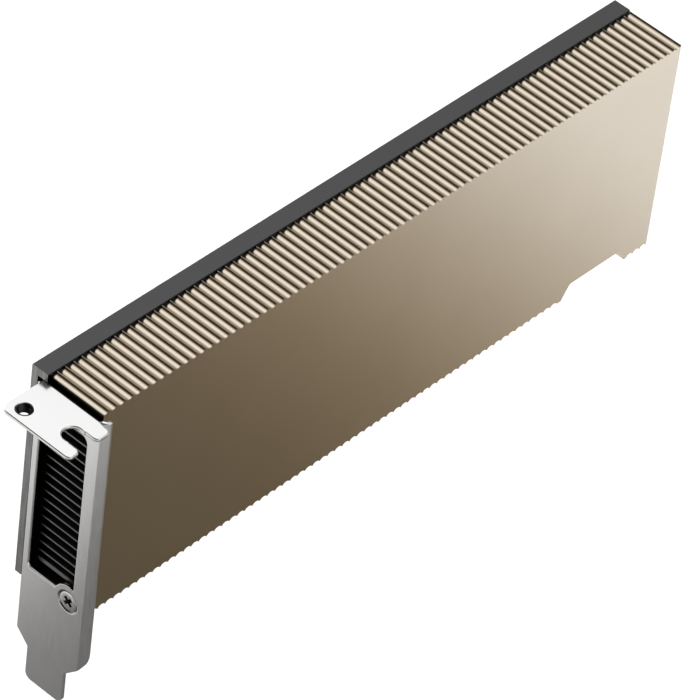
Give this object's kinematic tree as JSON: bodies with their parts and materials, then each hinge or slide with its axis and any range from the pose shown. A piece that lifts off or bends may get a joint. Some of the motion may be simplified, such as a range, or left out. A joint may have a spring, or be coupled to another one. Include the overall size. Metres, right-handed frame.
{
  "type": "accelerator card",
  "caption": "Low-profile fanless accelerator card with a fluted gold heat-sink cover, dark rear plate, vented steel bracket and an edge connector.",
  "frame": {"origin": "middle of the board's thickness on the insertion edge, at the key notch", "axes": "+X from the bracket to the tail, -Y out of the fluted cover's face, +Z away from the host slot"},
  "size_m": [0.1782, 0.0216, 0.0811],
  "materials": {
    "gold_aluminium": "satin",
    "grey_aluminium": "satin",
    "bracket_steel": "brushed",
    "screw_steel": "satin",
    "black_steel": "satin",
    "fin_aluminium": "satin",
    "base_aluminium": "satin",
    "copper": "satin",
    "board_laminate": "gloss",
    "substrate_laminate": "gloss",
    "contact_gold": "gloss",
    "silicon": "gloss",
    "paste": "matt",
    "pad": "matt",
    "chip_plastic": "matt",
    "inductor_ferrite": "matt",
    "capacitor_case": "gloss",
    "ceramic": "matt",
    "crystal_can": "satin",
    "film_plastic": "gloss"
  },
  "bodies": {
    "root": {"heatsink_cover": "gold_aluminium", "backplate": "grey_aluminium", "bracket": "bracket_steel", "bracket_screw": "screw_steel", "bracket_upper_screw": "screw_steel", "tab_bush": "black_steel", "cover_screws": "black_steel", "gpu_screws": "screw_steel", "fin_stack": "fin_aluminium", "heatsink_base": "base_aluminium", "copper_spreader": "copper", "thermal_paste": "paste", "gpu_die": "silicon", "gpu_substrate": "substrate_laminate", "memory_chips": "chip_plastic", "memory_pads": "pad", "power_inductors": "inductor_ferrite", "power_stages": "chip_plastic", "polymer_capacitors": "capacitor_case", "ceramic_capacitors": "ceramic", "rear_capacitors": "ceramic", "voltage_controller": "chip_plastic", "firmware_chip": "chip_plastic", "clock_crystal": "crystal_can", "circuit_board": "board_laminate", "edge_contacts_front": "contact_gold", "edge_contacts_back": "contact_gold", "insulating_film": "film_plastic"}
  },
  "joints": []
}
